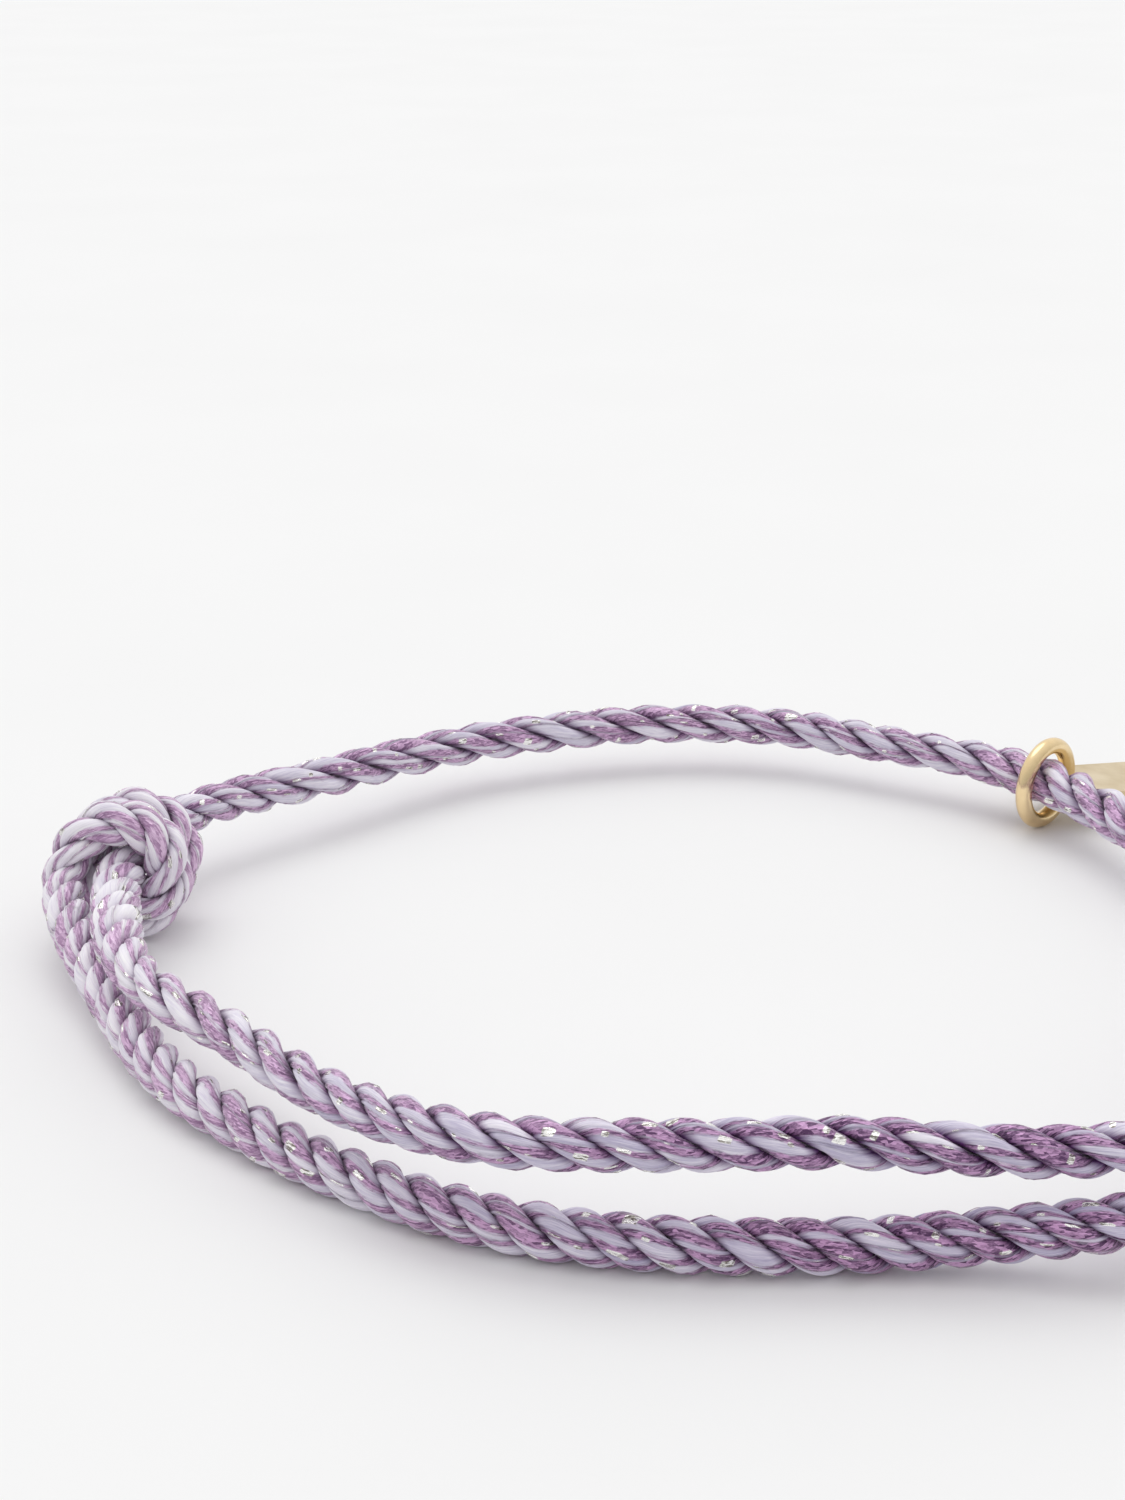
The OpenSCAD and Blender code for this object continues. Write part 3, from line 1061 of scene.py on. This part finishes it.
# %% The cord's material
SILVER_EDGE = (0.42, 0.5)
SOFT_ROUGHNESS, SILVER_ROUGHNESS = 0.68, 0.22
# Roughness of the tinsel's dark and bright facets
TINSEL_ROUGHNESS = (0.5, 0.32)
TINSEL_METAL = 0.25
RELIEF, RELIEF_DEPTH = 0.7, 0.00006
SHEEN, SHEEN_ROUGHNESS = 0.35, 0.4


def new_material(name):
    material = bpy.data.materials.new(name)
    material.use_nodes = True
    return material, material.node_tree, material.node_tree.nodes["Principled BSDF"]


def cord_material(name, soft, tinsel, groove_shade_colour, fibre_width, raggedness):
    """The finish of the cord: colour first, then gloss, metal and relief."""
    material, tree, shader = new_material(name)
    effects = cord_effects(tree, fibre_width, raggedness)
    fibres, film, film_share = effects["fibres"], effects["film"], effects["tinsel"]
    silver_share = span(tree, carried(tree, "silver"), *SILVER_EDGE)
    seen = cord_colour(tree, effects, silver_share, soft, tinsel, groove_shade_colour)
    tree.links.new(seen, shader.inputs["Base Color"])

    tinsel_roughness = span(tree, film["Light"], 0.0, 1.0, *TINSEL_ROUGHNESS)
    roughness = mix_value(tree, film_share, SOFT_ROUGHNESS, tinsel_roughness)
    roughness = mix_value(tree, silver_share, roughness, SILVER_ROUGHNESS)
    tree.links.new(roughness, shader.inputs["Roughness"])
    metal = calc(tree, "MULTIPLY", film_share, TINSEL_METAL)
    tree.links.new(mix_value(tree, silver_share, metal, 1.0), shader.inputs["Metallic"])
    height = mix_value(tree, film_share, fibres["Height"], film["Height"])
    sockets = {"Strength": RELIEF, "Distance": RELIEF_DEPTH, "Height": height}
    bump = put(tree, "ShaderNodeBump", sockets)
    tree.links.new(bump.outputs["Normal"], shader.inputs["Normal"])
    shader.inputs["Sheen Weight"].default_value = SHEEN
    shader.inputs["Sheen Roughness"].default_value = SHEEN_ROUGHNESS
    return material


# The groove colour is the dark colour of the painted shade in the grooves
TIED_YARN = cord_material(
    "tied_yarn", soft=(colour(246, 240, 252), colour(150, 137, 180)),
    # Tinsel's light and deep colour: purple film, lighter and darker as painted reflection of its facets
    tinsel=(colour(208, 161, 206), colour(84, 48, 90)), groove_shade_colour=colour(108, 44, 120),
    fibre_width=0.055, raggedness=0.42)
SOFT_YARN = cord_material(
    "soft_yarn", soft=(colour(247, 242, 252), colour(154, 142, 184)),
    tinsel=(colour(210, 165, 209), colour(88, 51, 95)), groove_shade_colour=colour(122, 62, 134),
    fibre_width=0.06, raggedness=0.44)
print("materials:", TIED_YARN.name, SOFT_YARN.name)

# %% [markdown]
# The pieces of cord now take their finish and their place in the assembly. Each one stands for a plain
# tube of the construction, and that tube is hidden.

RING, TAG = "slide_ring", "tag"
# Piece, the construction's tube, material, slot, thickness, what its far end meets, pieces on it
CORD_TABLE = [
    ("left_coil", "left_knot", TIED_YARN, "tied_cord", COIL_WIDTH, "bare", []),
    ("lower_strand", "lower_run", TIED_YARN, "tied_cord", TIED_WIDTH, "knot", []),
    ("back_strand", "back_run", SOFT_YARN, "soft_cord", SOFT_WIDTH, "knot", [RING, TAG]),
    ("upper_strand", "upper_run", SOFT_YARN, "soft_cord", SOFT_WIDTH, "knot", []),
    ("right_coil", "right_knot", SOFT_YARN, "soft_cord", COIL_WIDTH, "bare", []),
]


def declare_cord(name, node, material, slot, width, far_end, on_it):
    first, last = CUTS[name]
    piece = CORD_PIECES[name]
    piece.data.materials.append(material)
    path = LINE[first:last + 1] * MM
    if name == "left_coil":
        path = path[::-1]
    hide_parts(node)
    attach(piece, "root")


for row in CORD_TABLE:
    declare_cord(*row)

# %% [markdown]
# ## The ring and the tag
# Both are solids of the construction and keep their shape. Plated metal that is carried about has fine
# rubbed lines and slightly uneven gloss. The two share that effect in a group and differ in colour and
# in how much they shine.

# %% Handled metal
CLOUD_SCALE = 420.0
LINE_TURN = (0.3, 0.5, 0.9)
LINE_STRETCH = (1.0, 14.0, 3.0)
TARNISH_LOW, TARNISH_HIGH = 0.35, 0.75


def metal_group():
    tree, given, result = new_group(
        "Handled metal", [("Gloss", 0.2), ("Unevenness", 0.1), ("Line Scale", 900.0)],
        ["Roughness", "Tarnish", "Height"])
    place = put(tree, "ShaderNodeTexCoord").outputs["Object"]
    cloud = noise(tree, place, scale=CLOUD_SCALE, detail=3.0)
    sockets = {"Vector": place, "Rotation": LINE_TURN, "Scale": LINE_STRETCH}
    drawn = put(tree, "ShaderNodeMapping", sockets).outputs["Vector"]
    lines = noise(tree, drawn, scale=given.outputs["Line Scale"])
    uneven = calc(tree, "MULTIPLY", calc(tree, "SUBTRACT", cloud, 0.5), given.outputs["Unevenness"])
    rubbed = calc(tree, "MULTIPLY", calc(tree, "SUBTRACT", lines, 0.5), given.outputs["Unevenness"])
    gloss = calc(tree, "ADD", calc(tree, "ADD", given.outputs["Gloss"], uneven), rubbed)
    tree.links.new(gloss, result.inputs["Roughness"])
    tree.links.new(span(tree, cloud, TARNISH_LOW, TARNISH_HIGH), result.inputs["Tarnish"])
    tree.links.new(lines, result.inputs["Height"])
    return tree


HANDLED = metal_group()
print(HANDLED.name, "puts out", outputs_of(HANDLED))

# %% [markdown]
# The ring is polished and catches bright streaks. The tag is satin, so it spreads the light, and it is a
# paler gold. Nothing is marked on the tag: both of its faces are bare.

# %% Give the metal its finish
METAL_RELIEF_DEPTH = 0.00001


def metal_material(name, bright, dull, gloss, unevenness, relief):
    material, tree, shader = new_material(name)
    handled = group_node(tree, HANDLED, {"Gloss": gloss, "Unevenness": unevenness})
    tree.links.new(mix_colour(tree, handled["Tarnish"], bright, dull), shader.inputs["Base Color"])
    tree.links.new(handled["Roughness"], shader.inputs["Roughness"])
    sockets = {"Strength": relief, "Distance": METAL_RELIEF_DEPTH, "Height": handled["Height"]}
    bump = put(tree, "ShaderNodeBump", sockets)
    tree.links.new(bump.outputs["Normal"], shader.inputs["Normal"])
    shader.inputs["Metallic"].default_value = 1.0
    return material


RING_GOLD = metal_material(
    "ring_gold", bright=colour(246, 221, 176), dull=colour(218, 192, 146), gloss=0.2, unevenness=0.16,
    relief=0.2)
TAG_GOLD = metal_material(
    "tag_gold", bright=colour(222, 205, 172), dull=colour(198, 177, 138), gloss=0.34, unevenness=0.16,
    relief=0.35)


def dress_node(node, material):
    """Puts one material into every slot of a solid of the construction."""
    piece = bpy.data.objects[node]
    if not piece.material_slots:
        piece.data.materials.append(material)
    for slot in piece.material_slots:
        slot.material = material


dress_node(RING, RING_GOLD)
dress_node(TAG, TAG_GOLD)
print("metal:", RING_GOLD.name, TAG_GOLD.name)

# %% [markdown]
# ## The table and the light
# The bracelet lies on white paper. It is made as a flat sheet so wide that its edge is far off in every
# view. A curved backdrop is the usual way to hide such an edge, but from behind it would stand in the
# way. The white varies by a hair, as paper does.

# %% Lay the paper
FLOOR_SIZE = 8.0
PAPER_SHADES = colour(238, 238, 238), colour(242, 242, 242)
PAPER_GRAIN = 30.0
PAPER_GLEAM = 0.1


def add_floor():
    mesh = bpy.data.meshes.new("paper")
    half = FLOOR_SIZE / 2
    corners = [(-half, -half, 0), (half, -half, 0), (half, half, 0), (-half, half, 0)]
    mesh.from_pydata(corners, [], [(0, 1, 2, 3)])
    paper = bpy.data.objects.new("paper", mesh)
    bpy.context.collection.objects.link(paper)
    material, tree, shader = new_material("white_paper")
    place = put(tree, "ShaderNodeTexCoord").outputs["Object"]
    cloud = noise(tree, place, scale=PAPER_GRAIN, detail=3.0)
    white = mix_colour(tree, cloud, *PAPER_SHADES)
    tree.links.new(white, shader.inputs["Base Color"])
    shader.inputs["Roughness"].default_value = 1.0
    shader.inputs["Specular IOR Level"].default_value = PAPER_GLEAM
    mesh.materials.append(material)


add_floor()
print("paper of", FLOOR_SIZE, "by", FLOOR_SIZE, "m")

# %% [markdown]
# The daylight is bright and soft. The sky does most of the work: it is brighter above and behind the
# bracelet than on the camera's side. Looked at directly, past the paper's edge, it has the paper's own
# tone. A broad sun adds the soft shadow that falls towards the camera. A lamp close by would do it too,
# but it would leave the paper uneven.

# %% Light the paper
SKY_DARK, SKY_BRIGHT = 0.45, 1.1
SKY_SEEN = 0.93
SKY_TOWARDS = (0.0, 0.55, 0.83)
# The sky is darkest where it turns this far away from its bright side, from 1 to -1
SKY_DARKEST = -0.6
SUN_TURN = (-22.0, -9.0)
SUN_BREADTH = 44.0
SUN_POWER = 0.52


def add_sun():
    data = bpy.data.lights.new("high_sun", "SUN")
    data.angle = math.radians(SUN_BREADTH)
    data.energy = SUN_POWER
    sun = bpy.data.objects.new("high_sun", data)
    sun.rotation_euler = (math.radians(SUN_TURN[0]), math.radians(SUN_TURN[1]), 0)
    bpy.context.collection.objects.link(sun)


def light_sky():
    world = bpy.data.worlds.new("daylight")
    world.use_nodes = True
    tree = world.node_tree
    background = tree.nodes["Background"]
    background.inputs["Color"].default_value = (1.0, 1.0, 1.0, 1.0)
    place = put(tree, "ShaderNodeTexCoord").outputs["Generated"]
    towards = put(tree, "ShaderNodeVectorMath", {0: place, 1: SKY_TOWARDS}, operation="DOT_PRODUCT")
    strength = span(tree, towards.outputs["Value"], SKY_DARKEST, 1.0, SKY_DARK, SKY_BRIGHT)
    looked_at = put(tree, "ShaderNodeLightPath").outputs["Is Camera Ray"]
    tree.links.new(mix_value(tree, looked_at, strength, SKY_SEEN), background.inputs["Strength"])
    bpy.context.scene.world = world


add_sun()
light_sky()
bpy.context.scene.view_settings.view_transform = "Standard"
print("sun", SUN_POWER, "and sky from", SKY_DARK, "to", SKY_BRIGHT)
